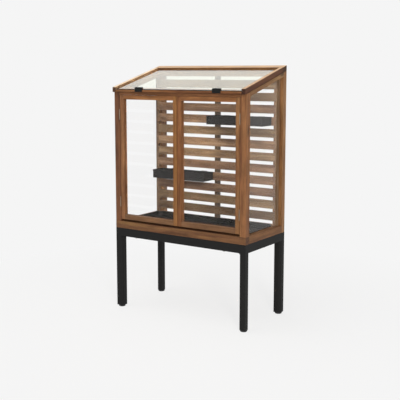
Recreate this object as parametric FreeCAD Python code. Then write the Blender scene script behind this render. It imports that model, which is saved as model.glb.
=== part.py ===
import FreeCAD, Part
import math
import os

# Wooden mini greenhouse: a glazed two-door cabinet with a lift-up glass lid on a steel stand.
# Millimetres, +Z up. The pieces are laid out from the cabinet's front left corner,
# then moved so that the origin is on the floor under the middle of the whole object.

# Overall sizes
width = 750.0
depth = 366.0
height = 1204.0
front_height = 1100.0
stand_height = 405.0

# Stand
leg_size = 35.0
leg_wall = 2.0
leg_round = 13.0
apron_height = 40.0
apron_thickness = 20.0
apron_wall = 1.5
apron_flare = 5.0
apron_flare_start = 3.0
glide_height = 8.0
glide_radius = 17.0
glide_edge = 2.5
glide_stem_height = 18.0
glide_stem_clearance = 0.15
bolt_radius = 3.0
bolt_head_radius = 5.5
bolt_head_height = 4.0
bolt_bite = 22.0
bolt_inset = 120.0

# Cabinet frame
post_size = 32.0
base_rail_height = 35.0
side_top_rail_height = 20.5
rear_post_width = 47.0
rear_frame_thickness = 38.0
rear_rebate = 10.0
rear_top_rail_bottom = 1150.0
batten_width = 12.0
batten_offset = 2.5
head_rail_bottom = 1063.0
stop_thickness = 7.0
stop_overlap = 6.5
rear_stile_inset = 13.0
edge_easing = 0.8
eased_edge_length = 100.0

# Floor
floor_thickness = 6.0
floor_underside = 411.0
groove_depth = 8.0

# Side glass
side_glass_thickness = 3.0
side_glass_inset = 18.0
glass_bite = 5.0

# Rear slats
slat_count = 14
slat_height = 40.0
slat_gap = 17.07
slat_thickness = 12.0
first_slat_bottom = 406.5

# Doors
door_bottom = 451.5
door_top = 1062.0
door_thickness = 24.0
door_side_gap = 2.0
door_centre_gap = 3.0
stile_width = 22.0
door_top_rail_height = 21.0
door_bottom_rail_height = 23.5
door_rebate_width = 6.0
door_glass_depth = 16.0
door_glass_thickness = 3.0

# Door hinges
hinge_height = 50.0
hinge_bottoms = (514.0, 943.0)
leaf_thickness = 0.9
leaf_depth = 20.0
knuckle_radius = 2.0
knuckle_clearance = 0.3
pin_radius = 1.0
pin_running_clearance = 0.05

# Magnetic catches
catch_width = 26.0
catch_depth = 18.0
catch_height = 16.0
catch_offset = 20.0
catch_gap = 0.5
catch_edge = 1.0
catch_plate_thickness = 1.5
catch_plate_height = 12.0
catch_plate_inset = 3.0
catch_plate_drop = 1.0

# Roof lid
overhang = 13.0
lid_gap = 2.0
lid_rail_width = 19.5
lid_rail_height = 24.0
lid_front_rail_width = 23.0
lid_front_rail_height = 10.5
lid_glass_drop = 7.3
lid_glass_thickness = 4.0
lid_hinge_width = 40.0
clip_width = 44.0
clip_centres = (160.0, 600.0)
clip_front_thickness = 2.0
clip_front_height = 20.0
clip_lip_depth = 8.0
clip_top_drop = 0.5

# Hanging planters
planter_width = 312.0
planter_depth = 89.7
planter_wall = 1.5
planter_rise = 0.6
planter_corner = 4.0
planter_hook_width = 30.0
planter_hook_inset = 45.0
planter_hook_drop = 11.0
planter_clearance = 0.3
left_planter_from_middle = 4.0
left_planter_slat = 4
right_planter_from_middle = 12.0
right_planter_slat = 9

# Floor tray
tray_clearance = 2.0
tray_rim = 447.0
tray_wall = 1.2
tray_corner = 30.0

# Derived places
roof_slope = (height - front_height) / (depth + overhang)
front_most = -overhang - clip_front_thickness
hinge_offset = knuckle_radius + knuckle_clearance
rear_most = depth + hinge_offset + knuckle_radius
origin_shift = FreeCAD.Vector(-width / 2, -(front_most + rear_most) / 2, 0)
floor_top = floor_underside + floor_thickness
rear_frame_front = depth - rear_frame_thickness
slat_front = rear_frame_front - slat_thickness
base_rail_top = stand_height + base_rail_height
side_glass_back = slat_front + glass_bite
rear_rebate_back = rear_frame_front + rear_rebate
side_opening_drop = lid_rail_height + lid_gap + side_top_rail_height
lid_front_rail_drop = lid_glass_drop + lid_glass_thickness
door_width = (width - 2 * post_size - 2 * door_side_gap - door_centre_gap) / 2
left_door_left = post_size + door_side_gap
right_door_left = width / 2 + door_centre_gap / 2
door_hinge_reach = door_side_gap / 2
glass_back = door_glass_depth + door_glass_thickness
cabinet_top_drop = lid_rail_height + lid_gap
left_planter_left = width / 2 - left_planter_from_middle - planter_width
right_planter_left = width / 2 + right_planter_from_middle


def box(x0, x1, y0, y1, z0, z1):
    """A plain block between two corners."""
    return Part.makeBox(x1 - x0, y1 - y0, z1 - z0, FreeCAD.Vector(x0, y0, z0))


def eased(shape):
    """A member with its long edges taken off, as planed timber is sold."""
    edges = [edge for edge in shape.Edges if edge.Length > eased_edge_length]
    return shape.makeChamfer(edge_easing, edges)


def bar(x0, x1, y0, y1, z0, z1):
    """A timber member with eased long edges."""
    return eased(box(x0, x1, y0, y1, z0, z1))


def roof_z(y, drop=0.0):
    """Height of the roof's top plane at a depth y, less a vertical drop."""
    return front_height + (y + overhang) * roof_slope - drop


def prism(points, direction):
    """A solid made by extruding a closed outline."""
    wire = Part.makePolygon(points + [points[0]])
    return Part.Face(wire).extrude(direction)


def sloped(x0, x1, y0, y1, drop0, drop1):
    """A block that follows the roof slope, with plumb ends."""
    corners = ((y0, drop0), (y1, drop0), (y1, drop1), (y0, drop1))
    points = [FreeCAD.Vector(x0, y, roof_z(y, drop)) for y, drop in corners]
    return prism(points, FreeCAD.Vector(x1 - x0, 0, 0))


def under_roof(x0, x1, y0, y1, z0, drop):
    """An upright block whose top is cut parallel to the roof, at a vertical drop below it."""
    points = [
        FreeCAD.Vector(x0, y0, z0),
        FreeCAD.Vector(x0, y1, z0),
        FreeCAD.Vector(x0, y1, roof_z(y1, drop)),
        FreeCAD.Vector(x0, y0, roof_z(y0, drop)),
    ]
    return prism(points, FreeCAD.Vector(x1 - x0, 0, 0))


def cylinder(radius, length, x, y, z, direction):
    """A round bar from a start point along a direction."""
    return Part.makeCylinder(radius, length, FreeCAD.Vector(x, y, z), FreeCAD.Vector(*direction))


def across(shape):
    """The same shape on the other side of the object's middle."""
    return shape.mirror(FreeCAD.Vector(width / 2, 0, 0), FreeCAD.Vector(1, 0, 0))


def front_to_back(shape):
    """The same shape at the back of the stand."""
    return shape.mirror(FreeCAD.Vector(0, depth / 2, 0), FreeCAD.Vector(0, 1, 0))


def save(name, *shapes):
    """Move the solids of one node into the object's frame and write them."""
    solids = [solid for shape in shapes for solid in shape.Solids]
    node = solids[0] if len(solids) == 1 else Part.makeCompound(solids)
    node = node.copy()
    node.translate(origin_shift)
    node.exportStep("parts/" + name + ".step")


# Stand: four leaf-section legs joined by apron rails

def leaf_outline(inset, z):
    """Leg outline: two opposite corners sharp, the other two rounded."""
    low = inset
    high = leg_size - inset
    radius = leg_round - inset
    k = radius * (1 - math.sqrt(0.5))
    def point(x, y):
        return FreeCAD.Vector(x, y, z)
    edges = [
        Part.makeLine(point(low, low), point(high - radius, low)),
        Part.Arc(point(high - radius, low), point(high - k, low + k), point(high, low + radius)).toShape(),
        Part.makeLine(point(high, low + radius), point(high, high)),
        Part.makeLine(point(high, high), point(low + radius, high)),
        Part.Arc(point(low + radius, high), point(low + k, high - k), point(low, high - radius)).toShape(),
        Part.makeLine(point(low, high - radius), point(low, low)),
    ]
    return Part.Face(Part.Wire(edges))


def leg_prism(inset):
    """A leg-shaped prism, drawn in from the outside by an inset."""
    return leaf_outline(inset, glide_height).extrude(FreeCAD.Vector(0, 0, stand_height - glide_height))


def leg():
    """The front left leg, a steel tube open at both ends."""
    return leg_prism(0).cut(leg_prism(leg_wall))


def flared_outline(length):
    """Front view of the front apron: a strip whose lower corners flare into the legs."""
    top = stand_height
    bottom = stand_height - apron_height
    flare = apron_flare
    def point(x, z):
        return FreeCAD.Vector(x, 0, z)
    k = flare * (1 - math.sqrt(0.5))
    left = leg_size - apron_flare_start
    right = length - left
    inner_left = leg_round
    inner_right = length - leg_round
    edges = [
        Part.makeLine(point(inner_left, top), point(inner_left, bottom - flare)),
        Part.makeLine(point(inner_left, bottom - flare), point(left, bottom - flare)),
        Part.Arc(point(left, bottom - flare), point(left + k, bottom - k),
                 point(left + flare, bottom)).toShape(),
        Part.makeLine(point(left + flare, bottom), point(right - flare, bottom)),
        Part.Arc(point(right - flare, bottom), point(right - k, bottom - k),
                 point(right, bottom - flare)).toShape(),
        Part.makeLine(point(right, bottom - flare), point(inner_right, bottom - flare)),
        Part.makeLine(point(inner_right, bottom - flare), point(inner_right, top)),
        Part.makeLine(point(inner_right, top), point(inner_left, top)),
    ]
    return Part.Face(Part.Wire(edges))


def apron(length, flared):
    """A steel apron tube along X, coped at both ends to the legs' rounded sides."""
    bottom = stand_height - apron_height
    rail = box(leg_round, length - leg_round, 0, apron_thickness, bottom, stand_height)
    if flared:
        rail = flared_outline(length).extrude(FreeCAD.Vector(0, apron_thickness, 0))
    hollow = box(leg_size, length - leg_size, apron_wall, apron_thickness - apron_wall,
                 bottom + apron_wall, stand_height - apron_wall)
    near_leg = leg_prism(0)
    far_leg = near_leg.mirror(FreeCAD.Vector(length / 2, 0, 0), FreeCAD.Vector(1, 0, 0))
    return rail.cut(hollow).cut(near_leg).cut(far_leg)


def side_apron():
    """The left apron rail, the same section turned to run front to back."""
    rail = apron(depth, False)
    return rail.mirror(FreeCAD.Vector(0, 0, 0), FreeCAD.Vector(1, -1, 0))


def bolt_places():
    """Where two bolts pass up through the front apron."""
    return [(x, apron_thickness / 2) for x in (bolt_inset, width - bolt_inset)]


def base_bolts():
    """Hexagon-head bolts up through the front apron into the cabinet's base rail."""
    bolts = []
    for x, y in bolt_places():
        start = stand_height - apron_height
        shank = cylinder(bolt_radius, apron_height + bolt_bite, x, y, start, (0, 0, 1))
        head = prism(
            [FreeCAD.Vector(x + bolt_head_radius * math.cos(math.radians(a)),
                            y + bolt_head_radius * math.sin(math.radians(a)),
                            start - bolt_head_height) for a in range(0, 360, 60)],
            FreeCAD.Vector(0, 0, bolt_head_height))
        bolts.append(shank.fuse(head))
    return bolts


def side_bolt_places():
    """Where the bolts pass up through the side aprons."""
    inset = apron_thickness / 2
    return [(x, depth / 2) for x in (inset, width - inset)]


def side_bolts():
    """The same bolts up through the side aprons."""
    first_x, first_y = bolt_places()[0]
    first = base_bolts()[0]
    bolts = []
    for x, y in side_bolt_places():
        copy = first.copy()
        copy.translate(FreeCAD.Vector(x - first_x, y - first_y, 0))
        bolts.append(copy)
    return bolts


def bolt_hole(x, y):
    """The hole a base bolt fills in an apron and in the rail above it."""
    return cylinder(bolt_radius, apron_height + bolt_bite, x, y, stand_height - apron_height, (0, 0, 1))


def glide():
    """Round plastic glide with a stem that plugs the foot of the leg."""
    middle = leg_size / 2
    foot = cylinder(glide_radius, glide_height, middle, middle, 0, (0, 0, 1))
    lower_rim = [edge for edge in foot.Edges if edge.Curve.TypeId == "Part::GeomCircle"
                 and edge.BoundBox.ZMax < glide_height / 2]
    foot = foot.makeChamfer(glide_edge, lower_rim)
    stem = leaf_outline(leg_wall + glide_stem_clearance, glide_height)
    return foot.fuse(stem.extrude(FreeCAD.Vector(0, 0, glide_stem_height)))


def stand():
    front_left = leg()
    glide_left = glide()
    front_rail = apron(width, True)
    left_rail = side_apron()
    rear_rail = front_to_back(front_rail)
    right_rail = across(left_rail)
    for x, y in bolt_places():
        front_rail = front_rail.cut(bolt_hole(x, y))
    side_places = side_bolt_places()
    left_rail = left_rail.cut(bolt_hole(*side_places[0]))
    right_rail = right_rail.cut(bolt_hole(*side_places[1]))
    save("front_left_leg", front_left)
    save("front_right_leg", across(front_left))
    save("rear_left_leg", front_to_back(front_left))
    save("rear_right_leg", front_to_back(across(front_left)))
    save("front_apron_rail", front_rail)
    save("rear_apron_rail", rear_rail)
    save("left_apron_rail", left_rail)
    save("right_apron_rail", right_rail)
    save("leg_glides", glide_left, across(glide_left),
         front_to_back(glide_left), front_to_back(across(glide_left)))
    save("base_fixing_bolts", *base_bolts(), *side_bolts())


# Cabinet frame: posts, base rails, top rails and the glazed sides

def side_glass_space():
    """The left pane: let into the front post, the two rails and the rear stile."""
    front = post_size - glass_bite
    bottom = base_rail_top - glass_bite
    top_drop = side_opening_drop - glass_bite
    corners = [
        (front, bottom),
        (side_glass_back, bottom),
        (side_glass_back, roof_z(side_glass_back, top_drop)),
        (front, roof_z(front, top_drop)),
    ]
    points = [FreeCAD.Vector(side_glass_inset, y, z) for y, z in corners]
    return prism(points, FreeCAD.Vector(side_glass_thickness, 0, 0))


def floor_panel():
    """The floor, let into grooves in the front and side base rails."""
    inner = post_size - groove_depth
    return box(inner, width - inner, inner, slat_front, floor_underside, floor_top)


def side_frame(glass, floor):
    """Base rail, top rail and rear stile of the left side."""
    rail = bar(0, post_size, post_size, rear_frame_front, stand_height, base_rail_top)
    heel = box(0, rear_stile_inset, rear_frame_front, rear_rebate_back, stand_height, base_rail_top)
    base_rail = rail.fuse(heel).removeSplitter()
    base_rail = base_rail.cut(glass).cut(floor).cut(bolt_hole(*side_bolt_places()[0]))
    rail = sloped(0, post_size, post_size, rear_frame_front, cabinet_top_drop, side_opening_drop)
    heel = sloped(0, rear_stile_inset, rear_frame_front, rear_rebate_back,
                  cabinet_top_drop, side_opening_drop)
    top_rail = eased(rail).fuse(heel).removeSplitter().cut(glass)
    stile = under_roof(rear_stile_inset, post_size, slat_front, rear_frame_front,
                       base_rail_top, side_opening_drop)
    return base_rail, top_rail, eased(stile).cut(glass)


def rear_post():
    """The rear left post, rebated to take the heels of the side rails."""
    post = eased(under_roof(0, rear_post_width, rear_frame_front, depth, stand_height, cabinet_top_drop))
    rebate = box(0, rear_stile_inset, rear_frame_front, rear_rebate_back, stand_height, height)
    return post.cut(rebate)


def cabinet_frame():
    glass = side_glass_space()
    floor = floor_panel()
    front_post = under_roof(0, post_size, 0, post_size, base_rail_top, cabinet_top_drop)
    front_post = eased(front_post).cut(glass)
    front_rail = bar(0, width, 0, post_size, stand_height, base_rail_top).cut(floor)
    front_rail = front_rail.cut(glass).cut(across(glass))
    for x, y in bolt_places():
        front_rail = front_rail.cut(bolt_hole(x, y))
    base_rail, top_rail, rear_stile = side_frame(glass, floor)
    head = under_roof(post_size, width - post_size, 0, post_size, head_rail_bottom, cabinet_top_drop)
    rear_rail = under_roof(rear_post_width, width - rear_post_width, rear_frame_front, depth,
                           rear_top_rail_bottom, cabinet_top_drop)
    save("front_left_post", front_post)
    save("front_right_post", across(front_post))
    save("front_base_rail", front_rail)
    save("left_base_rail", base_rail)
    save("right_base_rail", across(base_rail))
    save("left_top_rail", top_rail)
    save("right_top_rail", across(top_rail))
    save("left_rear_stile", rear_stile)
    save("right_rear_stile", across(rear_stile))
    save("rear_left_post", rear_post())
    save("rear_right_post", across(rear_post()))
    save("front_head_rail", eased(head))
    save("rear_top_rail", eased(rear_rail))
    save("left_side_glass", glass)
    save("right_side_glass", across(glass))
    save("floor_panel", floor)


def door_stop():
    """Thin strip behind the doors' lower edge that closes the gap above the base rail."""
    save("door_sill_strip", bar(post_size, width - post_size, post_size - stop_thickness, post_size,
                                base_rail_top, door_bottom + stop_overlap))


# Rear wall: horizontal slats on two corner posts and a centre batten

def slat_bottom(index):
    """Underside of one slat, counted from the lowest."""
    return first_slat_bottom + index * (slat_height + slat_gap)


def rear_wall():
    slats = []
    for index in range(slat_count):
        bottom = slat_bottom(index)
        top = min(bottom + slat_height, roof_z(slat_front, cabinet_top_drop))
        left = post_size
        slats.append(bar(left, width - left, slat_front, rear_frame_front, bottom, top))
    batten_left = (width - batten_width) / 2 + batten_offset
    batten = bar(batten_left, batten_left + batten_width, rear_frame_front, depth,
                 stand_height, rear_top_rail_bottom)
    save("rear_slats", *slats)
    save("rear_centre_batten", batten)


# Doors: rebated frames glazed from behind

def door_pieces(left):
    """Frame members, pane and glazing beads of one door, from its left edge."""
    right = left + door_width
    glass_left = left + stile_width - door_rebate_width
    glass_right = right - stile_width + door_rebate_width
    glass_bottom = door_bottom + door_bottom_rail_height - door_rebate_width
    glass_top = door_top - door_top_rail_height + door_rebate_width
    rebate = box(glass_left, glass_right, door_glass_depth, door_thickness, glass_bottom, glass_top)
    inner_left = left + stile_width
    inner_right = right - stile_width
    rail_top = door_bottom + door_bottom_rail_height
    rail_bottom = door_top - door_top_rail_height
    stile_left = bar(left, inner_left, 0, door_thickness, door_bottom, door_top).cut(rebate)
    stile_right = bar(inner_right, right, 0, door_thickness, door_bottom, door_top).cut(rebate)
    lower = bar(inner_left, inner_right, 0, door_thickness, door_bottom, rail_top).cut(rebate)
    upper = bar(inner_left, inner_right, 0, door_thickness, rail_bottom, door_top).cut(rebate)
    pane = box(glass_left, glass_right, door_glass_depth, glass_back, glass_bottom, glass_top)
    bead = door_rebate_width
    beads = [
        box(glass_left, glass_left + bead, glass_back, door_thickness, glass_bottom, glass_top),
        box(glass_right - bead, glass_right, glass_back, door_thickness, glass_bottom, glass_top),
        box(glass_left + bead, glass_right - bead, glass_back, door_thickness,
            glass_bottom, glass_bottom + bead),
        box(glass_left + bead, glass_right - bead, glass_back, door_thickness, glass_top - bead, glass_top),
    ]
    return stile_left, stile_right, lower, upper, pane, beads


def doors():
    stile_a, stile_b, lower, upper, pane, beads = door_pieces(left_door_left)
    save("left_door_hinge_stile", stile_a)
    save("left_door_meeting_stile", stile_b)
    save("left_door_bottom_rail", lower)
    save("left_door_top_rail", upper)
    save("left_door_glass", pane)
    save("left_door_glazing_beads", *beads)
    stile_a, stile_b, lower, upper, pane, beads = door_pieces(right_door_left)
    save("right_door_hinge_stile", stile_b)
    save("right_door_meeting_stile", stile_a)
    save("right_door_bottom_rail", lower)
    save("right_door_top_rail", upper)
    save("right_door_glass", pane)
    save("right_door_glazing_beads", *beads)


# Butt hinges: two leaves rolled round one pin

def knuckle_bands(length):
    """Start and end of the three knuckles: the outer two on one leaf, the middle one on the other."""
    third = length / 3
    gap = knuckle_clearance / 2
    return ((0.0, third - gap), (2 * third + gap, length)), ((third + gap, 2 * third - gap),)


def door_leaf(bottom, plate_x0, plate_x1, bands, bore):
    """One leaf of an upright door hinge whose pin stands in the door gap."""
    axis_x = post_size + door_hinge_reach
    axis_y = -hinge_offset
    leaf = box(plate_x0, plate_x1, knuckle_clearance, leaf_depth, bottom, bottom + hinge_height)
    for low, high in bands:
        ring = cylinder(knuckle_radius, high - low, axis_x, axis_y, bottom + low, (0, 0, 1))
        tongue = box(plate_x0, plate_x1, axis_y, knuckle_clearance, bottom + low, bottom + high)
        leaf = leaf.fuse(ring).fuse(tongue)
    hole = cylinder(bore, hinge_height, axis_x, axis_y, bottom, (0, 0, 1))
    return leaf.cut(hole).removeSplitter()


def door_hinges():
    fixed_bands, moving_bands = knuckle_bands(hinge_height)
    post_leaves = []
    door_leaves = []
    pins = []
    for bottom in hinge_bottoms:
        post_leaves.append(door_leaf(bottom, post_size, post_size + leaf_thickness, fixed_bands, pin_radius))
        door_leaves.append(door_leaf(bottom, left_door_left - leaf_thickness, left_door_left,
                                     moving_bands, pin_radius + pin_running_clearance))
        pins.append(cylinder(pin_radius, hinge_height, post_size + door_hinge_reach, -hinge_offset,
                             bottom, (0, 0, 1)))
    save("door_hinge_post_leaves", *post_leaves, *[across(leaf) for leaf in post_leaves])
    save("left_door_hinge_leaves", *door_leaves)
    save("right_door_hinge_leaves", *[across(leaf) for leaf in door_leaves])
    save("door_hinge_pins", *pins, *[across(pin) for pin in pins])


def catches():
    """Magnetic catches under the head rail and the steel plates they hold on the doors."""
    front = door_thickness + catch_plate_thickness + catch_gap
    catch_right = width / 2 - catch_offset
    body = box(catch_right - catch_width, catch_right, front, front + catch_depth,
               head_rail_bottom - catch_height, head_rail_bottom)
    lower_edges = [edge for edge in body.Edges if edge.BoundBox.ZMax < head_rail_bottom - catch_height / 2]
    body = body.makeChamfer(catch_edge, lower_edges)
    plate_top = door_top - catch_plate_drop
    plate = box(catch_right - catch_width + catch_plate_inset, catch_right - catch_plate_inset,
                door_thickness, door_thickness + catch_plate_thickness,
                plate_top - catch_plate_height, plate_top)
    save("magnetic_catches", body, across(body))
    save("left_catch_plate", plate)
    save("right_catch_plate", across(plate))


# Roof lid: side rails, lower front rail, full-width rear rail and a let-in pane

def roof_pane():
    """The roof glass: let into the side and rear rails, lying over the front rail."""
    return sloped(lid_rail_width - glass_bite, width - lid_rail_width + glass_bite,
                  -overhang, rear_frame_front + glass_bite,
                  lid_glass_drop, lid_glass_drop + lid_glass_thickness)


def roof_lid():
    pane = roof_pane()
    side = eased(sloped(0, lid_rail_width, -overhang, rear_frame_front, 0, lid_rail_height))
    front = eased(sloped(lid_rail_width, width - lid_rail_width, -overhang,
                         lid_front_rail_width - overhang, lid_front_rail_drop,
                         lid_front_rail_drop + lid_front_rail_height))
    rear = eased(sloped(0, width, rear_frame_front, depth, 0, lid_rail_height))
    side = side.cut(pane)
    save("roof_left_rail", side)
    save("roof_right_rail", across(side))
    save("roof_front_rail", front)
    save("roof_rear_rail", rear.cut(pane))
    save("roof_glass", pane)


def roof_clip(centre):
    """A black angle clip that holds the pane down on the lid's front rail."""
    low = centre - clip_width / 2
    high = centre + clip_width / 2
    top = roof_z(-overhang, clip_top_drop)
    plate = box(low, high, -overhang - clip_front_thickness, -overhang, top - clip_front_height, top)
    lip = sloped(low, high, -overhang, clip_lip_depth - overhang, clip_top_drop, lid_glass_drop)
    return plate.fuse(lip).removeSplitter()


def roof_clips():
    save("roof_front_clips", *[roof_clip(centre) for centre in clip_centres])


def lid_leaf(left, drop0, drop1, bands, bore):
    """One leaf of a lid hinge, lying in the gap under the lid's rear rail."""
    axis_y = depth + hinge_offset
    axis_drop = lid_rail_height + lid_gap / 2
    axis_z = roof_z(depth, axis_drop)
    leaf = sloped(left, left + lid_hinge_width, depth - leaf_depth, depth - knuckle_clearance, drop0, drop1)
    for low, high in bands:
        ring = cylinder(knuckle_radius, high - low, left + low, axis_y, axis_z, (1, 0, 0))
        tongue = sloped(left + low, left + high, depth - knuckle_clearance, axis_y, drop0, drop1)
        leaf = leaf.fuse(ring).fuse(tongue)
    hole = cylinder(bore, lid_hinge_width, left, axis_y, axis_z, (1, 0, 0))
    return leaf.cut(hole).removeSplitter()


def lid_hinges():
    fixed_bands, moving_bands = knuckle_bands(lid_hinge_width)
    left = (rear_post_width - lid_hinge_width) / 2
    lower = lid_leaf(left, cabinet_top_drop - leaf_thickness, cabinet_top_drop, fixed_bands, pin_radius)
    upper = lid_leaf(left, lid_rail_height, lid_rail_height + leaf_thickness, moving_bands,
                     pin_radius + pin_running_clearance)
    pin = cylinder(pin_radius, lid_hinge_width, left, depth + hinge_offset,
                   roof_z(depth, lid_rail_height + lid_gap / 2), (1, 0, 0))
    save("roof_hinge_lower_leaves", lower, across(lower))
    save("roof_hinge_upper_leaves", upper, across(upper))
    save("roof_hinge_pins", pin, across(pin))


# Loose fittings: hanging planters and the floor tray

def rounded_block(x0, x1, y0, y1, z0, z1, radius):
    """A block with rounded upright corners."""
    block = box(x0, x1, y0, y1, z0, z1)
    upright = [edge for edge in block.Edges if edge.BoundBox.ZLength > (z1 - z0) / 2]
    return block.makeFillet(radius, upright)


def pan(x0, x1, y0, y1, z0, z1, wall, radius):
    """An open-topped sheet pan."""
    outside = rounded_block(x0, x1, y0, y1, z0, z1, radius)
    inside = rounded_block(x0 + wall, x1 - wall, y0 + wall, y1 - wall, z0 + wall, z1 + wall, radius - wall)
    return outside.cut(inside)


def planter(left, slat_index):
    """A shallow sheet planter with two hooks over the top edge of a slat."""
    back = slat_front - planter_clearance
    slat_top = slat_bottom(slat_index) + slat_height
    rim = slat_top + planter_clearance + planter_wall
    bottom = slat_bottom(slat_index) + planter_rise
    body = pan(left, left + planter_width, back - planter_depth, back,
               bottom, rim, planter_wall, planter_corner)
    hook_back = rear_frame_front + planter_clearance + planter_wall
    last_hook_left = left + planter_width - planter_hook_inset - planter_hook_width
    for hook_left in (left + planter_hook_inset, last_hook_left):
        hook_right = hook_left + planter_hook_width
        strap = box(hook_left, hook_right, back - planter_wall, hook_back, rim - planter_wall, rim)
        drop = box(hook_left, hook_right, hook_back - planter_wall, hook_back, rim - planter_hook_drop, rim)
        body = body.fuse(strap).fuse(drop)
    return body.removeSplitter()


def floor_tray():
    """A low sheet tray that fills the cabinet's floor."""
    gap = tray_clearance
    return pan(post_size + gap, width - post_size - gap, post_size + gap, slat_front - gap,
               floor_top, tray_rim, tray_wall, tray_corner)


def fittings():
    save("left_planter", planter(left_planter_left, left_planter_slat))
    save("right_planter", planter(right_planter_left, right_planter_slat))
    save("floor_tray", floor_tray())


os.makedirs("parts", exist_ok=True)
stand()
cabinet_frame()
door_stop()
rear_wall()
doors()
door_hinges()
catches()
roof_lid()
roof_clips()
lid_hinges()
fittings()
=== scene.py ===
import bpy
import bmesh
import math
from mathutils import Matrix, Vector


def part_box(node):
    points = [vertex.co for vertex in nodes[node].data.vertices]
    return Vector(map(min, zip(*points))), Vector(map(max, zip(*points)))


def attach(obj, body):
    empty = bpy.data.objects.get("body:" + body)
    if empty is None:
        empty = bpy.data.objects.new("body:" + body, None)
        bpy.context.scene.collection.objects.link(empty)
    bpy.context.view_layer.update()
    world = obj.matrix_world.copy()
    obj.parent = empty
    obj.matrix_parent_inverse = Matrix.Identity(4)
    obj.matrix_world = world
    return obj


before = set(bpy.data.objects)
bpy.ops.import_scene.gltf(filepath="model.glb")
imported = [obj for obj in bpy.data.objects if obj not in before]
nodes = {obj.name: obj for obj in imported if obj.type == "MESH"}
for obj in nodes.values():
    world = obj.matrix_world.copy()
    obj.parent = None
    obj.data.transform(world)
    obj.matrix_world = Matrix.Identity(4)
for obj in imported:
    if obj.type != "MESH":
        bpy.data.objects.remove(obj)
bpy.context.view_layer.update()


# Camera. A long lens looks at the cabinet from the front right, a little above the door tops, and is
# tilted and shifted down to take in the legs while the upright edges stay nearly upright.
def in_scene(name, data):
    """Adds an object to the scene."""
    made = bpy.data.objects.new(name, data)
    bpy.context.scene.collection.objects.link(made)
    return made


look_down = 0.13649
turn_left = 0.59449
camera_data = bpy.data.cameras.new("camera")
camera_data.sensor_width = 36.0
camera_data.lens = 70.997
camera_data.shift_y = -0.05
camera = in_scene("camera", camera_data)
camera.location = (2.13860, -3.14978, 1.17421)
camera.rotation_euler = (math.pi / 2 - look_down, 0.0, turn_left)
bpy.context.scene.camera = camera
bpy.context.scene.view_settings.view_transform = "Standard"


# Studio. A seamless pale grey paper runs under the cabinet. A large soft box overhead, whose reflection
# makes the roof pane milky, lights it with a small key box at the front right and a weak one behind.
def srgb(code):
    """A hex colour as Blender's linear RGBA."""
    channels = [int(code[i:i + 2], 16) / 255 for i in (1, 3, 5)]
    linear = [c / 12.92 if c <= 0.04045 else ((c + 0.055) / 1.055) ** 2.4 for c in channels]
    return (*linear, 1.0)


def add(tree, kind, inputs=None, **settings):
    """Adds one node. An input given as another node's output is linked; any other value is set."""
    made = tree.nodes.new(kind)
    for name, value in settings.items():
        setattr(made, name, value)
    for socket, value in (inputs or {}).items():
        if isinstance(value, bpy.types.NodeSocket):
            tree.links.new(value, made.inputs[socket])
        else:
            made.inputs[socket].default_value = value
    return made


def seen_ray(tree):
    """1 for rays that show the backdrop: the camera's own, and those by way of metal or glass."""
    path = add(tree, "ShaderNodeLightPath")
    mirrored = add(tree, "ShaderNodeMath", {0: path.outputs["Is Camera Ray"],
                                            1: path.outputs["Is Glossy Ray"]}, operation="MAXIMUM")
    through = add(tree, "ShaderNodeMath", {0: mirrored.outputs[0],
                                           1: path.outputs["Is Transmission Ray"]}, operation="MAXIMUM")
    return through.outputs[0]


backdrop_colour = srgb("#F5F5F5")
ambient_level = 0.32

world = bpy.data.worlds.new("studio")
bpy.context.scene.world = world
world.use_nodes = True
tree = world.node_tree
tree.nodes.clear()
ambient = add(tree, "ShaderNodeBackground", {"Color": (1.0, 0.985, 0.96, 1.0), "Strength": ambient_level})
paper = add(tree, "ShaderNodeBackground", {"Color": backdrop_colour, "Strength": 1.0})
mixed = add(tree, "ShaderNodeMixShader", {0: seen_ray(tree), 1: ambient.outputs[0], 2: paper.outputs[0]})
add(tree, "ShaderNodeOutputWorld", {"Surface": mixed.outputs[0]})


def soft_box(name, size, place, target, power, colour):
    """A square area lamp turned towards a point."""
    lamp = bpy.data.lights.new(name, "AREA")
    lamp.size = size
    lamp.energy = power
    lamp.color = colour
    holder = in_scene(name, lamp)
    holder.location = place
    holder.rotation_euler = (Vector(target) - Vector(place)).to_track_quat("-Z", "Y").to_euler()


soft_box("overhead_box", size=3.0, place=(-0.5, -0.9, 3.6), target=(0, 0, 0.9), power=80.0,
         colour=(1.0, 0.98, 0.95))
soft_box("key_box", size=0.7, place=(3.5, -3.6, 2.2), target=(0, 0, 0.8), power=135.0,
         colour=(1.0, 0.97, 0.93))
soft_box("back_box", size=3.2, place=(-2.6, 3.4, 2.9), target=(0, 0, 1.0), power=11.0,
         colour=(1.0, 0.97, 0.92))

# The paper shows its plain colour to the camera, except near the cabinet, where a share of the real
# shading is left for the contact shadow.
reach = 12.0
shadow_starts, shadow_ends = 0.5, 1.6
plain_share = 0.86
paper_mesh = bpy.data.meshes.new("paper_floor")
paper_mesh.from_pydata([(-reach, -reach, 0), (reach, -reach, 0), (reach, reach, 0), (-reach, reach, 0)],
                       [], [(0, 1, 2, 3)])
paper_floor = in_scene("paper_floor", paper_mesh)
paper_finish = bpy.data.materials.new("seamless_paper")
paper_finish.use_nodes = True
tree = paper_finish.node_tree
tree.nodes.clear()
shade = add(tree, "ShaderNodeBsdfDiffuse", {"Color": backdrop_colour})
glow = add(tree, "ShaderNodeEmission", {"Color": backdrop_colour, "Strength": 1.0})
place = add(tree, "ShaderNodeTexCoord")
away = add(tree, "ShaderNodeVectorMath", {0: place.outputs["Object"]}, operation="LENGTH")
plain = add(tree, "ShaderNodeMapRange", {"Value": away.outputs["Value"], "From Min": shadow_starts,
                                         "From Max": shadow_ends, "To Min": plain_share, "To Max": 1.0})
clean = add(tree, "ShaderNodeMath", {0: plain.outputs[0], 1: seen_ray(tree)}, operation="MULTIPLY")
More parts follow.
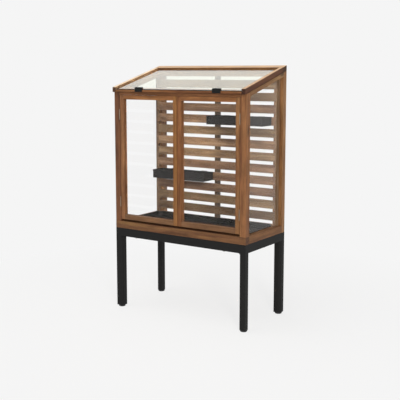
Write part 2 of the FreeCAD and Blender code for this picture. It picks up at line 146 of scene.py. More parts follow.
mixed = add(tree, "ShaderNodeMixShader", {0: clean.outputs[0], 1: shade.outputs[0], 2: glow.outputs[0]})
add(tree, "ShaderNodeOutputMaterial", {"Surface": mixed.outputs[0]})
paper_mesh.materials.append(paper_finish)


# Stand. Four legs of 35 mm leaf-section steel tube and four 40 x 20 mm apron tubes, coped to the legs and
# welded, then powder coated matt black. The coat has a fine orange-peel skin about 2 mm across.
def finish(material, *names):
    """Puts a material on CAD nodes."""
    for name in names:
        materials = nodes[name].data.materials
        materials.clear()
        materials.append(material)


def new_finish(name):
    """An empty material with its Principled shader, and the piece's own coordinates."""
    material = bpy.data.materials.new(name)
    material.use_nodes = True
    tree = material.node_tree
    shader = tree.nodes["Principled BSDF"]
    coords = add(tree, "ShaderNodeTexCoord")
    return material, tree, shader, coords


# A colour Mix node takes its factor at socket 0 and its colours at 6 and 7, and gives its result at 2.
multiply = {"data_type": "RGBA", "blend_type": "MULTIPLY"}


def powder_coat(name, colour, roughness, peel=0.002):
    """Polyester powder coat: an even, matt colour with faint clouds of tone about 110 mm across, and an
    orange-peel skin that scatters its gloss."""
    material, tree, shader, coords = new_finish(name)
    shader.inputs["Specular IOR Level"].default_value = 0.15
    skin = add(tree, "ShaderNodeTexNoise", {"Vector": coords.outputs["Object"], "Scale": 1 / peel,
                                            "Detail": 2.0, "Roughness": 0.5})
    cloud = add(tree, "ShaderNodeTexNoise",
                {"Vector": coords.outputs["Object"], "Scale": 9.0, "Detail": 3.0})
    tone = add(tree, "ShaderNodeMapRange", {"Value": cloud.outputs[0], "To Min": 0.88, "To Max": 1.12})
    tinted = add(tree, "ShaderNodeMix", {0: 1.0, 6: srgb(colour), 7: tone.outputs[0]}, **multiply)
    worn = add(tree, "ShaderNodeMapRange", {"Value": skin.outputs[0], "To Min": roughness - 0.06,
                                            "To Max": roughness + 0.08})
    bump = add(tree, "ShaderNodeBump", {"Height": skin.outputs[0], "Strength": 0.22, "Distance": 0.0002})
    tree.links.new(tinted.outputs[2], shader.inputs["Base Color"])
    tree.links.new(worn.outputs[0], shader.inputs["Roughness"])
    tree.links.new(bump.outputs[0], shader.inputs["Normal"])
    return material


black_coat = powder_coat("powder_coated_steel_black", "#1B1B1B", roughness=0.6)
finish(black_coat, "front_left_leg", "front_right_leg", "rear_left_leg", "rear_right_leg",
       "front_apron_rail", "rear_apron_rail", "left_apron_rail", "right_apron_rail")


# Welds. Inside each corner of the stand, where an apron's inner face meets a leg, a fillet weld is left
# as laid, in small overlapping ripples under the coat; the outer joints are ground flush.
def new_tree(name, sockets):
    """A Geometry Nodes tree with named inputs, and the outputs of its input node."""
    tree = bpy.data.node_groups.new(name, "GeometryNodeTree")
    tree.is_modifier = True
    for socket, kind in sockets.items():
        tree.interface.new_socket(socket, in_out="INPUT", socket_type="NodeSocket" + kind)
    tree.interface.new_socket("Piece", in_out="OUTPUT", socket_type="NodeSocketGeometry")
    return tree, add(tree, "NodeGroupInput").outputs


def made_from(form, name):
    """Turns finished mesh code into an object in the scene."""
    mesh = bpy.data.meshes.new(name)
    form.to_mesh(mesh)
    form.free()
    return in_scene(name, mesh)


def lay(name, body, tree, rows, material):
    """Makes one mesh of several runs of a tree, each with its own sizes, riding on a body."""
    form = bmesh.new()
    sockets = {item.name: item.identifier for item in tree.interface.items_tree if item.in_out == "INPUT"}
    for sizes in rows:
        holder = in_scene(name + "_row", bpy.data.meshes.new(name + "_row"))
        setting = holder.modifiers.new(tree.name, "NODES")
        setting.node_group = tree
        for socket, value in {**sizes, "Finish": material}.items():
            setting[sockets[socket]] = value
        row = bpy.data.meshes.new_from_object(holder.evaluated_get(bpy.context.evaluated_depsgraph_get()))
        form.from_mesh(row)
        holder.modifiers.remove(setting)
        bpy.data.objects.remove(holder)
        bpy.data.meshes.remove(row)
    piece = made_from(form, name)
    piece.data.materials.append(material)
    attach(piece, body)


beads, given = new_tree("weld_beads", {"Ripples": "Int", "Step": "Float", "Radius": "Float",
                                       "Width": "Float", "Depth": "Float", "Place": "Vector",
                                       "Finish": "Material", "Seed": "Int"})
upward = add(beads, "ShaderNodeCombineXYZ", {"Z": given["Step"]})
run = add(beads, "GeometryNodeMeshLine", {"Count": given["Ripples"], "Offset": upward.outputs[0]})
ripple = add(beads, "GeometryNodeMeshUVSphere", {"Segments": 10, "Rings": 6, "Radius": given["Radius"]})
# Each ripple differs a little in width, and is shorter along the bead than it is wide.
laid = add(beads, "FunctionNodeRandomValue",
           {0: (0.88, 0.88, 0.7), 1: (1.1, 1.1, 0.8), "Seed": given["Seed"]}, data_type="FLOAT_VECTOR")
bead = add(beads, "GeometryNodeInstanceOnPoints",
           {"Points": run.outputs["Mesh"], "Instance": ripple.outputs["Mesh"], "Scale": laid.outputs[0]})
corners = add(beads, "GeometryNodeMeshGrid", {"Size X": given["Width"], "Size Y": given["Depth"],
                                              "Vertices X": 2, "Vertices Y": 2})
four = add(beads, "GeometryNodeInstanceOnPoints",
           {"Points": corners.outputs["Mesh"], "Instance": bead.outputs[0]})
moved = add(beads, "GeometryNodeTransform", {"Geometry": four.outputs[0], "Translation": given["Place"]})
solid = add(beads, "GeometryNodeRealizeInstances", {"Geometry": moved.outputs[0]})
coated = add(beads, "GeometryNodeSetMaterial", {"Geometry": solid.outputs[0], "Material": given["Finish"]})
add(beads, "NodeGroupOutput", {0: coated.outputs[0]})

leg_low, leg_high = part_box("front_left_leg")
rear_leg_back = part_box("rear_left_leg")[1][1]
front_apron_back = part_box("front_apron_rail")[1][1]
side_apron_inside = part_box("left_apron_rail")[1][0]
stand_middle = (leg_low[1] + rear_leg_back) / 2
weld_ripples = 17
weld_step = 0.002
weld_radius = 0.0028
weld_below_top = 0.003
weld_start = leg_high[2] - weld_below_top - (weld_ripples - 1) * weld_step
weld = {"Ripples": weld_ripples, "Step": weld_step, "Radius": weld_radius,
        "Place": (0.0, stand_middle, weld_start)}
lay("stand_welds", "cabinet_and_stand", beads,
    [{**weld, "Width": -2 * leg_high[0], "Depth": 2 * (stand_middle - front_apron_back), "Seed": 1},
     {**weld, "Width": -2 * side_apron_inside, "Depth": 2 * (stand_middle - leg_high[1]), "Seed": 2}],
    black_coat)


# Glides and bolts. Black moulded polypropylene feet plug the legs; zinc-plated hexagon bolts come up
# through the front and side aprons into the timber.
def moulded_plastic(name, colour, roughness, grit=0.0009):
    """Injection-moulded plastic: satin, with a fine spark-eroded texture. The real texture is about
    0.1 mm; it is drawn at 0.9 mm so that it shows."""
    material, tree, shader, coords = new_finish(name)
    spark = add(tree, "ShaderNodeTexNoise",
                {"Vector": coords.outputs["Object"], "Scale": 1 / grit, "Detail": 1.0})
    bump = add(tree, "ShaderNodeBump", {"Height": spark.outputs[0], "Strength": 0.3, "Distance": 0.0001})
    worn = add(tree, "ShaderNodeMapRange", {"Value": spark.outputs[0], "To Min": roughness - 0.05,
                                            "To Max": roughness + 0.08})
    shader.inputs["Base Color"].default_value = srgb(colour)
    tree.links.new(worn.outputs[0], shader.inputs["Roughness"])
    tree.links.new(bump.outputs[0], shader.inputs["Normal"])
    return material


def plated_steel(name, colour, roughness, drawn=0.0012, cloudiness=0.00625):
    """Zinc-plated steel: pale metal with fine drawing marks and a slightly cloudy film. The real marks
    are about 0.1 mm apart; they are drawn 1.2 mm apart, and ten times as long, so that they show."""
    material, tree, shader, coords = new_finish(name)
    marks = add(tree, "ShaderNodeMapping", {"Vector": coords.outputs["Object"],
                                            "Scale": (1 / drawn, 1 / drawn, 0.1 / drawn)})
    lines = add(tree, "ShaderNodeTexNoise", {"Vector": marks.outputs[0], "Scale": 1.0, "Detail": 3.0})
    film = add(tree, "ShaderNodeTexNoise",
               {"Vector": coords.outputs["Object"], "Scale": 1 / cloudiness, "Detail": 2.0})
    tone = add(tree, "ShaderNodeMapRange", {"Value": film.outputs[0], "To Min": 0.8, "To Max": 1.1})
    tinted = add(tree, "ShaderNodeMix", {0: 1.0, 6: srgb(colour), 7: tone.outputs[0]}, **multiply)
    worn = add(tree, "ShaderNodeMapRange", {"Value": lines.outputs[0], "To Min": roughness - 0.1,
                                            "To Max": roughness + 0.15})
    bump = add(tree, "ShaderNodeBump", {"Height": lines.outputs[0], "Strength": 0.15, "Distance": 0.0001})
    shader.inputs["Metallic"].default_value = 1.0
    tree.links.new(tinted.outputs[2], shader.inputs["Base Color"])
    tree.links.new(worn.outputs[0], shader.inputs["Roughness"])
    tree.links.new(bump.outputs[0], shader.inputs["Normal"])
    return material


black_plastic = moulded_plastic("moulded_polypropylene_black", "#1C1C1C", roughness=0.45)
zinc = plated_steel("zinc_plated_steel", "#BDBBB4", roughness=0.35)
finish(black_plastic, "leg_glides")
finish(zinc, "base_fixing_bolts")


# Timber. Every frame member is planed hardwood finished with a reddish-brown oil, so the grain stays
# open and satin. Each group of boards has its own figure and tone, as boards from different planks do;
# some groups' tones also carry painted light and shade, noted where they are set.
# Axis numbers, for the way that the grain runs or a pane faces.
sideways, fore_and_aft, upright = 0, 1, 2
# The roof's fall and its run from front to back, in millimetres.
roof_fall, roof_run = 104.0, 379.0
roof_slope = math.atan(roof_fall / roof_run)
pith_distance = 0.11
ring_spacing = 0.006
plain_wave_spacing = 0.314
stack_seed = 10913.0


def oiled_timber(name, along, dark, mid, light, seed, boards=None, sloping=False, painted_top_light=None,
                 end_tone="#CCC4BC"):
    """Oiled hardwood whose grain runs along one axis; boards gives the first and pitch of stacked slats,
    painted_top_light a paler colour painted on faces turned up to the sky as painted light from above,
    end_tone the darkening of cut ends."""
    material, tree, shader, coords = new_finish(name)
    shader.inputs["Specular IOR Level"].default_value = 0.25
    turn = -roof_slope if sloping else 0.0
    # Each group of boards is cut from its own place in the log.
    place_in_log = (pith_distance + 0.031 * seed, 0.09 + 0.043 * seed, 0.07 + 0.057 * seed)
    lie = add(tree, "ShaderNodeMapping", {"Vector": coords.outputs["Object"], "Location": place_in_log,
                                          "Rotation": (turn, 0.0, 0.0)})

    def stretched(long, wide):
        """Coordinates drawn out along the grain, for a figure of a real length and width in metres."""
        scale = [1 / wide] * 3
        scale[along] = 1 / long
        return add(tree, "ShaderNodeMapping", {"Vector": lie.outputs[0], "Scale": scale}).outputs[0]

    figure = add(tree, "ShaderNodeTexNoise", {"Vector": stretched(0.26, 0.017), "Scale": 1.0, "Detail": 4.0,
                                              "Roughness": 0.55, "Distortion": 0.6})
    tones = add(tree, "ShaderNodeValToRGB", {"Fac": figure.outputs[0]})
    ramp = tones.color_ramp
    ramp.elements[0].position = 0.3
    ramp.elements[0].color = srgb(dark)
    ramp.elements[1].position = 0.7
    ramp.elements[1].color = srgb(light)
    ramp.elements.new(0.5).color = srgb(mid)
    # A Wave texture of scale 1 has its rings 0.314 m apart.
    rings = add(tree, "ShaderNodeTexWave",
                {"Vector": stretched(0.05, 1.0), "Scale": plain_wave_spacing / ring_spacing,
                 "Distortion": 5.0, "Detail": 2.0, "Detail Scale": 0.6},
                wave_type="RINGS", rings_direction="XYZ"[along], wave_profile="SAW")
    late_wood = add(tree, "ShaderNodeMapRange",
                    {"Value": rings.outputs["Fac"], "To Min": 1.06, "To Max": 0.84})
    # Real fibre streaks are under a millimetre wide and pores about 0.2 mm. They are drawn 1.8 mm and
    # 0.6 mm wide so that they show.
    fibres = add(tree, "ShaderNodeTexNoise",
                 {"Vector": stretched(0.05, 0.0018), "Scale": 1.0, "Detail": 3.0})
    streaks = add(tree, "ShaderNodeMapRange", {"Value": fibres.outputs[0], "From Min": 0.3, "From Max": 0.7,
                                               "To Min": 0.82, "To Max": 1.15})
    ringed = add(tree, "ShaderNodeMix", {0: 1.0, 6: tones.outputs[0], 7: late_wood.outputs[0]}, **multiply)
    fibrous = add(tree, "ShaderNodeMix", {0: 1.0, 6: ringed.outputs[2], 7: streaks.outputs[0]}, **multiply)
    patches = add(tree, "ShaderNodeTexNoise", {"Vector": stretched(0.09, 0.035), "Scale": 1.0,
                                               "Detail": 3.0, "Roughness": 0.6})
    mottle = add(tree, "ShaderNodeMapRange", {"Value": patches.outputs[0], "From Min": 0.3, "From Max": 0.7,
                                              "To Min": 0.80, "To Max": 1.2})
    pores = add(tree, "ShaderNodeTexNoise",
                {"Vector": stretched(0.006, 0.0006), "Scale": 1.0, "Detail": 1.0})
    open_pores = add(tree, "ShaderNodeMapRange", {"Value": pores.outputs[0], "From Min": 0.58,
                                                  "From Max": 0.68, "To Min": 1.0, "To Max": 0.72})
    # Small dark knots, long along the grain, where branches grew.
    branches = add(tree, "ShaderNodeTexVoronoi", {"Vector": stretched(0.22, 0.07), "Scale": 1.0},
                   feature="F1", voronoi_dimensions="3D")
    knots = add(tree, "ShaderNodeMapRange", {"Value": branches.outputs["Distance"], "From Min": 0.05,
                                             "From Max": 0.15, "To Min": 0.45, "To Max": 1.0})
    pitted = add(tree, "ShaderNodeMath", {0: mottle.outputs[0], 1: open_pores.outputs[0]},
                 operation="MULTIPLY")
    depth = add(tree, "ShaderNodeMath", {0: pitted.outputs[0], 1: knots.outputs[0]}, operation="MULTIPLY")
    mottled = add(tree, "ShaderNodeMix", {0: 1.0, 6: fibrous.outputs[2], 7: depth.outputs[0]}, **multiply)
    colour = mottled.outputs[2]
    if boards:
        first, pitch = boards
        split = add(tree, "ShaderNodeSeparateXYZ", {0: coords.outputs["Object"]})
        above = add(tree, "ShaderNodeMath", {0: split.outputs["Z"], 1: first}, operation="SUBTRACT")
        count = add(tree, "ShaderNodeMath", {0: above.outputs[0], 1: pitch}, operation="DIVIDE")
        index = add(tree, "ShaderNodeMath", {0: count.outputs[0]}, operation="FLOOR")
        stack = add(tree, "ShaderNodeMath", {0: index.outputs[0], 1: stack_seed}, operation="ADD")
        chance = add(tree, "ShaderNodeTexWhiteNoise", {"W": stack.outputs[0]}, noise_dimensions="1D")
        bright = add(tree, "ShaderNodeMapRange",
                     {"Value": chance.outputs["Value"], "To Min": 0.62, "To Max": 1.3})
        pick = add(tree, "ShaderNodeSeparateColor", {0: chance.outputs["Color"]})
        hue = add(tree, "ShaderNodeMapRange", {"Value": pick.outputs[1], "To Min": 0.49, "To Max": 0.51})
        varied = add(tree, "ShaderNodeHueSaturation", {"Hue": hue.outputs[0], "Value": bright.outputs[0],
                                                       "Color": colour})
        colour = varied.outputs[0]
    facing = add(tree, "ShaderNodeSeparateXYZ", {0: coords.outputs["Normal"]})
    square_on = add(tree, "ShaderNodeMath", {0: facing.outputs[along]}, operation="ABSOLUTE")
    end = add(tree, "ShaderNodeMapRange",
              {"Value": square_on.outputs[0], "From Min": 0.8, "From Max": 0.95})
    # Faces turned up to the sky are mixed towards a paler colour, with the grain kept: painted light from
    # above.
    if painted_top_light:
        skyward = add(tree, "ShaderNodeMapRange", {"Value": facing.outputs["Z"], "From Min": 0.75,
                                                   "From Max": 0.95, "To Max": 0.85})
        grain = add(tree, "ShaderNodeMath", {0: streaks.outputs[0], 1: depth.outputs[0]},
                    operation="MULTIPLY")
        ringed_grain = add(tree, "ShaderNodeMath", {0: grain.outputs[0], 1: late_wood.outputs[0]},
                           operation="MULTIPLY")
        top_light_paint = add(tree, "ShaderNodeMix", {0: 1.0, 6: srgb(painted_top_light), 7: ringed_grain.outputs[0]},
                       **multiply)
        colour = add(tree, "ShaderNodeMix", {0: skyward.outputs[0], 6: colour, 7: top_light_paint.outputs[2]},
                     data_type="RGBA").outputs[2]
    end_grain = add(tree, "ShaderNodeMix", {0: 1.0, 6: colour, 7: srgb(end_tone)}, **multiply)
    cut = add(tree, "ShaderNodeMix", {0: end.outputs[0], 6: colour, 7: end_grain.outputs[2]},
              data_type="RGBA")
    sheen = add(tree, "ShaderNodeMapRange", {"Value": fibres.outputs[0], "To Min": 0.45, "To Max": 0.65})
    bump = add(tree, "ShaderNodeBump", {"Height": fibres.outputs[0], "Strength": 0.25, "Distance": 0.0004})
    tree.links.new(cut.outputs[2], shader.inputs["Base Color"])
    tree.links.new(sheen.outputs[0], shader.inputs["Roughness"])
    tree.links.new(bump.outputs[0], shader.inputs["Normal"])
    return material


finish(oiled_timber("oiled_hardwood_left_post", upright, "#543424", "#69432C", "#7B5033", seed=1),
       "front_left_post")
finish(oiled_timber("oiled_hardwood_right_post", upright, "#6D452D", "#865A38", "#996C44", seed=15),
       "front_right_post")
# The base rails are set darker, partly as painted shade where the light falls off towards the floor.
finish(oiled_timber("oiled_hardwood_base_rails", sideways, "#593923", "#6F4B30", "#835F3A", seed=2),
       "front_base_rail", "door_sill_strip")
finish(oiled_timber("oiled_hardwood_head_rail", sideways, "#694326", "#815535", "#94663E", seed=16),
       "front_head_rail")
finish(oiled_timber("oiled_hardwood_side_rails", fore_and_aft, "#5C3B23", "#754F31", "#8B613A", seed=3),
       "left_base_rail", "right_base_rail")
finish(oiled_timber("oiled_hardwood_side_top_rails", fore_and_aft, "#6C4B2D", "#845F3D", "#9B784F", seed=4,
                    sloping=True), "left_top_rail", "right_top_rail")
finish(oiled_timber("oiled_hardwood_rear_posts", upright, "#6F4C2F", "#885F3A", "#9E764F", seed=5),
       "rear_left_post", "rear_right_post")
# The rail's top face is painted paler, as painted light from above.
finish(oiled_timber("oiled_hardwood_rear_rail", sideways, "#5B381B", "#6F4725", "#82582F", seed=17,
                    painted_top_light="#CFAB86", end_tone="#B8B29C"), "rear_top_rail")
# Its dark tones are painted shade: from the front the batten shows only through the slat gaps, where it
# stands in shadow.
finish(oiled_timber("oiled_hardwood_batten_painted_shade", upright, "#4A3826", "#5C4731", "#6C563C", seed=18),
       "rear_centre_batten")
finish(oiled_timber("oiled_hardwood_rear_stiles", upright, "#664C38", "#7C6149", "#93795F", seed=6),
       "left_rear_stile", "right_rear_stile")


# Floor and slatted back. A sheet of birch plywood, paler than the frame, lies in grooves in the base
# rails; fourteen 40 mm boards are fixed to the posts and batten from behind, with gaps for air and for
# the planters' hooks.
slat_pitch = 0.05707
slats_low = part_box("rear_slats")[0]
into_slat_gap = 0.008
slat_boards = (slats_low[2] - into_slat_gap, slat_pitch)
finish(oiled_timber("oiled_hardwood_slats", sideways, "#6A4F38", "#816449", "#9B7E60", seed=7,
                    boards=slat_boards), "rear_slats")
finish(oiled_timber("birch_plywood", sideways, "#A8865C", "#B8976B", "#C6A77C", seed=8), "floor_panel")


# Doors. Each is a frame of two stiles and two rails in the same oiled hardwood, butt-jointed and rebated
# on the inside for a pane, which four thin beads hold in.
finish(oiled_timber("oiled_hardwood_left_hinge_stile", upright, "#734A2F", "#8A5F3E", "#A2754C", seed=9),
       "left_door_hinge_stile")
finish(oiled_timber("oiled_hardwood_right_hinge_stile", upright, "#684026", "#7F5735", "#946A42", seed=19),
       "right_door_hinge_stile")
finish(oiled_timber("oiled_hardwood_left_meeting_stile", upright, "#6C4428", "#865A30", "#9A6C41", seed=10),
       "left_door_meeting_stile")
finish(oiled_timber("oiled_hardwood_right_meeting_stile", upright, "#653F23", "#805230", "#96663F",
                    seed=20), "right_door_meeting_stile")
# The door top rails are set paler and the bottom rails darker, partly as painted light and shade, the light
# falling off towards the floor.
finish(oiled_timber("oiled_hardwood_door_top_rails", sideways, "#734928", "#8B5C37", "#A17244", seed=11),
       "left_door_top_rail", "right_door_top_rail")
finish(oiled_timber("oiled_hardwood_door_bottom_rails", sideways, "#5D3F29", "#755338", "#896545", seed=21),
       "left_door_bottom_rail", "right_door_bottom_rail")
finish(oiled_timber("oiled_hardwood_beads", upright, "#6E4530", "#84583B", "#98694A", seed=12),
       "left_door_glazing_beads", "right_door_glazing_beads")


# Glass. Clear 3 mm float panes in the doors and sides and a 4 mm pane in the roof, with cut edges
# that look darker and greener than the faces. Lamps shine through it.
def float_glass(name, edge_tint, face_tint, light_through, face_axis, ior):
    """Float glass: almost colourless through the face, green at the cut edges. Light that comes in at
    a slant loses some by reflection, so light_through is less for panes that the lamps face at a slant."""
    material, tree, shader, coords = new_finish(name)
    facing = add(tree, "ShaderNodeSeparateXYZ", {0: coords.outputs["Normal"]})
    square_on = add(tree, "ShaderNodeMath", {0: facing.outputs[face_axis]}, operation="ABSOLUTE")
    face = add(tree, "ShaderNodeMapRange",
               {"Value": square_on.outputs[0], "From Min": 0.5, "From Max": 0.8})
    colour = add(tree, "ShaderNodeMix", {0: face.outputs[0], 6: srgb(edge_tint), 7: srgb(face_tint)},
                 data_type="RGBA")
    tree.links.new(colour.outputs[2], shader.inputs["Base Color"])
    shader.inputs["Transmission Weight"].default_value = 1.0
    shader.inputs["Roughness"].default_value = 0.0
    shader.inputs["IOR"].default_value = ior
    path = add(tree, "ShaderNodeLightPath")
    clear = add(tree, "ShaderNodeBsdfTransparent", {"Color": srgb(light_through)})
    pane = add(tree, "ShaderNodeMixShader", {0: path.outputs["Is Shadow Ray"], 1: shader.outputs[0],
                                             2: clear.outputs[0]})
    tree.links.new(pane.outputs[0], tree.nodes["Material Output"].inputs["Surface"])
    return material


finish(float_glass("float_glass_doors", "#8FA79A", "#FFFFFF", "#F8F9F8", fore_and_aft, ior=1.2),
       "left_door_glass", "right_door_glass")
finish(float_glass("float_glass_sides", "#8FA79A", "#FFFFFF", "#C6C7C6", sideways, ior=1.2),
       "left_side_glass", "right_side_glass")
finish(float_glass("float_glass_roof", "#6E7F74", "#E9EDE0", "#F8F9F8", upright, ior=1.5), "roof_glass")


# Hinges and catches. Zinc-plated butt hinges stand in the gap beside each door, and two small black
# magnetic catches hold the doors on steel plates.
hinge_metal = plated_steel("zinc_plated_hinge", "#938676", roughness=0.5)
finish(hinge_metal, "door_hinge_post_leaves", "left_door_hinge_leaves", "right_door_hinge_leaves",
       "door_hinge_pins", "roof_hinge_lower_leaves", "roof_hinge_upper_leaves", "roof_hinge_pins",
       "left_catch_plate", "right_catch_plate")
finish(black_plastic, "magnetic_catches")


# Screws. Countersunk zinc-plated wood screws hold the slats from behind, through the corner posts and
# the batten, and smaller ones hold the hinge leaves. Each cross recess stopped at its own angle.
def screw_head(name, across, rise):
    """A countersunk head with a cross recess, facing +Z, the pattern for a row of screws."""
    form = bmesh.new()
    sides = 16
    angles = [2 * math.pi * step / sides for step in range(sides)]
    half, arm = 0.075 * across, 0.29 * across
    shank_radius, shank_depth = 0.25 * across, 0.35 * across
    rim_radius, crown_radius = 0.5 * across, 0.46 * across
    recess_taper, recess_depth = 0.7, 0.22 * across
    cross = [(arm, -half), (arm, half), (half, half), (half, arm), (-half, arm), (-half, half),
             (-arm, half), (-arm, -half), (-half, -half), (-half, -arm), (half, -arm), (half, -half)]

    def ring(points, height):
        return [form.verts.new((x, y, height)) for x, y in points]

    def circle(radius):
        return [(radius * math.cos(angle), radius * math.sin(angle)) for angle in angles]

    def wall(lower, upper):
        for low_a, low_b, up_a, up_b in zip(lower, lower[1:] + lower[:1], upper, upper[1:] + upper[:1]):
            form.faces.new((low_a, low_b, up_b, up_a))

    shank = ring(circle(shank_radius), -shank_depth)
    rim = ring(circle(rim_radius), 0.0)
    crown = ring(circle(crown_radius), rise)
    mouth = ring(cross, rise)
    floor = ring([(recess_taper * x, recess_taper * y) for x, y in cross], rise - recess_depth)
    wall(shank, rim)
    wall(rim, crown)
    wall(floor, mouth)
    form.faces.new(shank)
    form.faces.new(floor)
    edges = [form.edges.get(pair) or form.edges.new(pair)
             for loop in (crown, mouth) for pair in zip(loop, loop[1:] + loop[:1])]
    bmesh.ops.triangle_fill(form, use_beauty=True, edges=edges)
    bmesh.ops.recalc_face_normals(form, faces=form.faces)
    return made_from(form, name)


screw_rows, given = new_tree("screw_rows", {"Head": "Object", "Columns": "Int", "Rows": "Int",
                                            "Width": "Float", "Height": "Float", "Turn": "Vector",
                                            "Place": "Vector", "Finish": "Material", "Seed": "Int"})
places = add(screw_rows, "GeometryNodeMeshGrid",
             {"Size X": given["Width"], "Size Y": given["Height"],
              "Vertices X": given["Columns"], "Vertices Y": given["Rows"]})
driven = add(screw_rows, "FunctionNodeRandomValue",
             {0: (0, 0, 0), 1: (0, 0, math.pi / 2), "Seed": given["Seed"]}, data_type="FLOAT_VECTOR")
pattern = add(screw_rows, "GeometryNodeObjectInfo", {"Object": given["Head"]})
heads = add(screw_rows, "GeometryNodeInstanceOnPoints",
            {"Points": places.outputs["Mesh"], "Instance": pattern.outputs["Geometry"],
             "Rotation": driven.outputs[0]})
set_in = add(screw_rows, "GeometryNodeTransform",
             {"Geometry": heads.outputs[0], "Translation": given["Place"], "Rotation": given["Turn"]})
solid = add(screw_rows, "GeometryNodeRealizeInstances", {"Geometry": set_in.outputs[0]})
plated = add(screw_rows, "GeometryNodeSetMaterial",
             {"Geometry": solid.outputs[0], "Material": given["Finish"]})
add(screw_rows, "NodeGroupOutput", {0: plated.outputs[0]})

slat_screw = screw_head("slat_screw_pattern", across=0.007, rise=0.0003)
leaf_screw = screw_head("leaf_screw_pattern", across=0.005, rise=0.00005)
post_low, post_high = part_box("rear_right_post")
batten_low, batten_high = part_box("rear_centre_batten")
# The top slat lies against the rear top rail; the thirteen below it are the ones with screws.
screwed_slats = 13
half_slat = 0.02
slat_rise = (screwed_slats - 1) * slat_pitch
slats_middle = slats_low[2] + half_slat + slat_rise / 2
behind = {"Head": slat_screw, "Rows": screwed_slats, "Height": slat_rise, "Turn": (-math.pi / 2, 0.0, 0.0)}
post_middle = (post_low[0] + post_high[0]) / 2
batten_middle = (batten_low[0] + batten_high[0]) / 2
cabinet_rows = [{**behind, "Columns": 2, "Width": 2 * post_middle, "Seed": 3,
                 "Place": (0.0, post_high[1], slats_middle)},
                {**behind, "Columns": 1, "Width": 0.0, "Seed": 4,
                 "Place": (batten_middle, batten_high[1], slats_middle)}]
door_gap = 0.002
leaf_thickness = 0.0009
leaf_length = 0.050
leaf_depth = 0.020
leaf_screw_span = 0.034
leaf_row = {"Head": leaf_screw, "Columns": 3, "Rows": 1, "Width": leaf_screw_span, "Height": 0.0}
for side, body in ((-1, "left_door"), (1, "right_door")):
    leaves_low, leaves_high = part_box(body + "_hinge_leaves")
    stile_low, stile_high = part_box(body + "_hinge_stile")
    stile_face = stile_low[0] if side < 0 else stile_high[0]
    door_leaf_face = stile_face + side * leaf_thickness
    post_leaf_face = stile_face + side * (door_gap - leaf_thickness)
    screw_line = leaves_high[1] - leaf_depth / 2
    door_rows = []
    for height in (leaves_low[2] + leaf_length / 2, leaves_high[2] - leaf_length / 2):
        door_rows.append({**leaf_row, "Turn": (0.0, side * math.pi / 2, 0.0), "Seed": 5,
                          "Place": (door_leaf_face, screw_line, height)})
        cabinet_rows.append({**leaf_row, "Turn": (0.0, -side * math.pi / 2, 0.0), "Seed": 6,
                             "Place": (post_leaf_face, screw_line, height)})
    lay(body + "_hinge_screws", body, screw_rows, door_rows, zinc)
lay("cabinet_screws", "cabinet_and_stand", screw_rows, cabinet_rows, zinc)
for pattern_head in (slat_screw, leaf_screw):
    bpy.data.objects.remove(pattern_head)


# Roof lid. Hardwood side rails and a full-width rear rail are grooved for the pane, which lies over
# a lower front rail; two folded black steel clips hold its front edge down.
# The rails' top faces are painted paler, as painted light from above.
finish(oiled_timber("oiled_hardwood_lid_left_rail", fore_and_aft, "#7E573B", "#997050", "#B18A66", seed=23,
                    sloping=True, painted_top_light="#E6CEAD", end_tone="#8F8785"), "roof_left_rail")
# The right rail's darker tones are painted shade on its outer side face.
finish(oiled_timber("oiled_hardwood_lid_right_rail_painted_shade", fore_and_aft, "#422311", "#542F19", "#673F24", seed=13,
                    sloping=True, painted_top_light="#CFAB86", end_tone="#AFAAAA"), "roof_right_rail")
finish(oiled_timber("oiled_hardwood_lid_front_rail", sideways, "#603820", "#754A2B", "#895D37", seed=14),
       "roof_front_rail")
finish(oiled_timber("oiled_hardwood_lid_rear_rail", sideways, "#513017", "#65401F", "#764F28", seed=22,
                    painted_top_light="#CFAB86", end_tone="#B8B29C"), "roof_rear_rail")
clip_black = powder_coat("powder_coated_steel_clips", "#121313", roughness=0.5)
finish(clip_black, "roof_front_clips")


# Planters and tray. Folded 1.5 mm sheet-steel boxes hang on the slats by two hooks, and a low
# sheet-steel tray covers the floor; all are coated anthracite.
anthracite = powder_coat("powder_coated_steel_anthracite", "#2A2827", roughness=0.5)
finish(anthracite, "left_planter", "right_planter")
tray_coat = powder_coat("powder_coated_steel_tray", "#262421", roughness=0.5)
finish(tray_coat, "floor_tray")


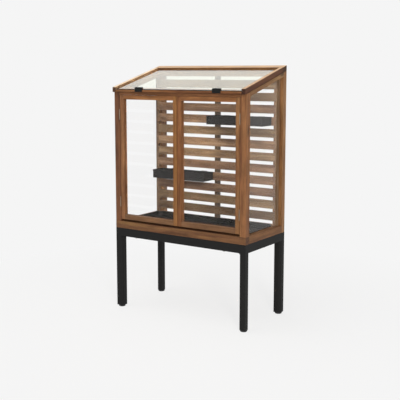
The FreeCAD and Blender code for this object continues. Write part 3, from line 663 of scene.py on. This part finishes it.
# Hemmed rims. The sheet's cut edge is folded over and pressed flat along the top of each box, so that
# it is safe to the hand: outwards on three sides of a planter, inwards all round the tray.
def hemmed_rim(name, body, material, low, high, radius, closed, folded_out):
    """A folded hem swept along the rounded outline of a sheet box, its rim at the top of the box."""
    form = bmesh.new()
    millimetre = 0.001
    # The hem's section, in millimetres outwards from the sheet's outer face and upwards from its edge.
    fold = [(-1.6, -0.5), (-1.3, 0.3), (-0.1, 0.7), (1.0, 0.3),
            (1.4, -0.5), (1.4, -6.4), (1.0, -6.9), (-0.4, -6.9)]
    if not folded_out:
        # The same section, mirrored about a line 0.1 mm inside the outer face.
        fold = [(-0.2 - out, up) for out, up in fold]
    corner_steps = 6
    path = []
    corners = [(low[0], low[1], math.pi), (high[0], low[1], 1.5 * math.pi),
               (high[0], high[1], 0.0), (low[0], high[1], 0.5 * math.pi)]
    if not closed:
        path.append((low[0], high[1], math.pi))
        corners = corners[:2]
    for x, y, start in corners:
        centre_x = x + radius if x == low[0] else x - radius
        centre_y = y + radius if y == low[1] else y - radius
        for step in range(corner_steps + 1):
            angle = start + 0.5 * math.pi * step / corner_steps
            path.append((centre_x + radius * math.cos(angle), centre_y + radius * math.sin(angle), angle))
    if not closed:
        path.append((high[0], high[1], 0.0))
    loops = []
    for x, y, angle in path:
        loops.append([form.verts.new((x + millimetre * out * math.cos(angle),
                                      y + millimetre * out * math.sin(angle),
                                      high[2] + millimetre * up)) for out, up in fold])
    followers = loops[1:] + loops[:1] if closed else loops[1:]
    for here, there in zip(loops, followers):
        for a, b, c, d in zip(here, here[1:] + here[:1], there, there[1:] + there[:1]):
            form.faces.new((a, b, d, c))
    if not closed:
        form.faces.new(loops[0])
        form.faces.new(loops[-1])
    bmesh.ops.recalc_face_normals(form, faces=form.faces)
    rim = made_from(form, name)
    rim.data.materials.append(material)
    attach(rim, body)


slat_gap_behind_planter = 0.0003
hem_stops_short = 0.001
rim_back = slats_low[1] - slat_gap_behind_planter - hem_stops_short
for planter in ("left_planter", "right_planter"):
    planter_low, planter_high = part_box(planter)
    rim_high = (planter_high[0], rim_back, planter_high[2])
    hemmed_rim(planter + "_rim", planter + "_body", anthracite, planter_low, rim_high,
               radius=0.004, closed=False, folded_out=True)
tray_low, tray_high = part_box("floor_tray")
hemmed_rim("floor_tray_rim", "floor_tray_body", tray_coat, tray_low, tray_high,
           radius=0.030, closed=True, folded_out=False)
